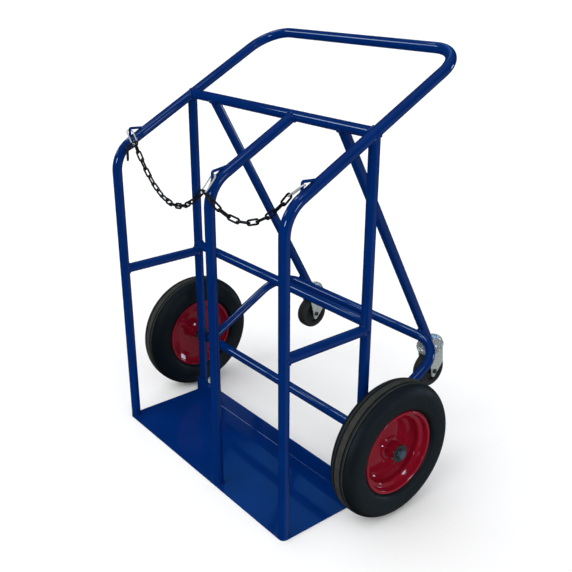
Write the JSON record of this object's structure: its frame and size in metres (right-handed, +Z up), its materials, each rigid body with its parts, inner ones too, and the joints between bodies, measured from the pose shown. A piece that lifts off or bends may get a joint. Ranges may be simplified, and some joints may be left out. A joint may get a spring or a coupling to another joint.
{
  "type": "gas cylinder cart",
  "caption": "Welded tube cart that carries upright gas cylinders on a toe plate behind chains, with large pneumatic wheels and rear castors to roll on when it is tilted back.",
  "frame": {"origin": "on the floor, on the underside of the toe plate, midway between the axes of the two front tubes", "axes": "+Z up, +X to the right for someone facing the way the cart is pushed, +Y from the loading side to the handle"},
  "size_m": [1.0878, 0.7851, 1.2688],
  "materials": {
    "blue_paint": "gloss blue paint on steel",
    "red_paint": "gloss dark red paint on pressed steel",
    "tyre_rubber": "black moulded tyre rubber",
    "castor_rubber": "black solid rubber",
    "core_plastic": "black moulded plastic",
    "zinc": "bright zinc plate on steel",
    "steel": "plain steel with a blue-grey plate",
    "bearing_plastic": "pale bearing plastic",
    "black_chain": "black coated steel chain"
  },
  "bodies": {
    "frame": {"hoop": "blue_paint", "middle_post": "blue_paint", "upper_cross_bar": "blue_paint", "mid_cross_bar": "blue_paint", "upright_left": "blue_paint", "upright_right": "blue_paint", "side_rail_left": "blue_paint", "side_rail_right": "blue_paint", "axle_tube": "blue_paint", "castor_frame": "blue_paint", "strut_left": "blue_paint", "strut_right": "blue_paint", "toe_plate": "blue_paint", "eye_left": "blue_paint", "eye_middle": "blue_paint", "eye_right": "blue_paint", "axle": "steel", "outer_washer_left": "zinc", "outer_washer_right": "zinc", "inner_washer_left": "zinc", "inner_washer_right": "zinc", "axle_bolt_left": "steel", "axle_bolt_right": "steel", "castor_cup_left": "zinc", "castor_cup_right": "zinc", "castor_stem_left": "steel", "castor_stem_right": "steel", "castor_king_nut_left": "zinc", "castor_king_nut_right": "zinc", "snap_hook_left": "zinc", "snap_hook_middle": "zinc", "snap_hook_right": "zinc"},
    "wheel_left": {"tyre_left": "tyre_rubber", "rim_left": "red_paint", "wheel_disc_left": "red_paint", "wheel_bearing_left": "bearing_plastic"},
    "wheel_right": {"tyre_right": "tyre_rubber", "rim_right": "red_paint", "wheel_disc_right": "red_paint", "wheel_bearing_right": "bearing_plastic"},
    "castor_left": {"castor_fork_left": "zinc", "castor_bolt_left": "zinc", "castor_nut_left": "zinc"},
    "castor_right": {"castor_fork_right": "zinc", "castor_bolt_right": "zinc", "castor_nut_right": "zinc"},
    "castor_wheel_left": {"castor_tyre_left": "castor_rubber", "castor_core_left": "core_plastic"},
    "castor_wheel_right": {"castor_tyre_right": "castor_rubber", "castor_core_right": "core_plastic"},
    "chain_span_left": {"chain_left": "black_chain"},
    "chain_span_right": {"chain_right": "black_chain"},
    "gate_left": {"hook_gate_left": "zinc"},
    "gate_middle": {"hook_gate_middle": "zinc"},
    "gate_right": {"hook_gate_right": "zinc"}
  },
  "joints": [
    {"name": "wheel_spin_left", "type": "hinge", "parent": "frame", "child": "wheel_left", "pos_m": [-0.4943, 0.3153, 0.2055], "axis": [1, 0, 0], "continuous": true},
    {"name": "wheel_spin_right", "type": "hinge", "parent": "frame", "child": "wheel_right", "pos_m": [0.4943, 0.3153, 0.2055], "axis": [1, 0, 0], "continuous": true},
    {"name": "castor_swivel_left", "type": "hinge", "parent": "frame", "child": "castor_left", "pos_m": [-0.289, 0.69991, 0.33383], "axis": [0, -0.4857, 0.8741], "continuous": true},
    {"name": "castor_swivel_right", "type": "hinge", "parent": "frame", "child": "castor_right", "pos_m": [0.289, 0.69991, 0.33383], "axis": [0, -0.4857, 0.8741], "continuous": true},
    {"name": "castor_spin_left", "type": "hinge", "parent": "castor_left", "child": "castor_wheel_left", "pos_m": [-0.289, 0.70322, 0.24243], "axis": [1, 0, 0], "continuous": true},
    {"name": "castor_spin_right", "type": "hinge", "parent": "castor_right", "child": "castor_wheel_right", "pos_m": [0.289, 0.70322, 0.24243], "axis": [1, 0, 0], "continuous": true},
    {"name": "chain_swing_left", "type": "hinge", "parent": "frame", "child": "chain_span_left", "pos_m": [-0.3723, 0.04806, 0.95889], "axis": [0.987, -0.1386, -0.0815], "range_deg": [-12, 12]},
    {"name": "chain_swing_right", "type": "hinge", "parent": "frame", "child": "chain_span_right", "pos_m": [0.1008, -0.01736, 0.92053], "axis": [0.9655, 0.2215, 0.1366], "range_deg": [-12, 12]},
    {"name": "gate_open_left", "type": "hinge", "parent": "frame", "child": "gate_left", "pos_m": [-0.37988, 0.05872, 0.96531], "axis": [0.6097, -0.0856, 0.788], "range_deg": [0, 25], "stiffness_Nm_per_rad": 0.02},
    {"name": "gate_open_middle", "type": "hinge", "parent": "frame", "child": "gate_middle", "pos_m": [0.087, -0.0091, 0.92691], "axis": [0, 0.7431, -0.6691], "range_deg": [0, 25], "stiffness_Nm_per_rad": 0.02},
    {"name": "gate_open_right", "type": "hinge", "parent": "frame", "child": "gate_right", "pos_m": [0.38374, 0.0378, 0.96531], "axis": [-0.6001, -0.1377, 0.788], "range_deg": [0, 25], "stiffness_Nm_per_rad": 0.02}
  ]
}
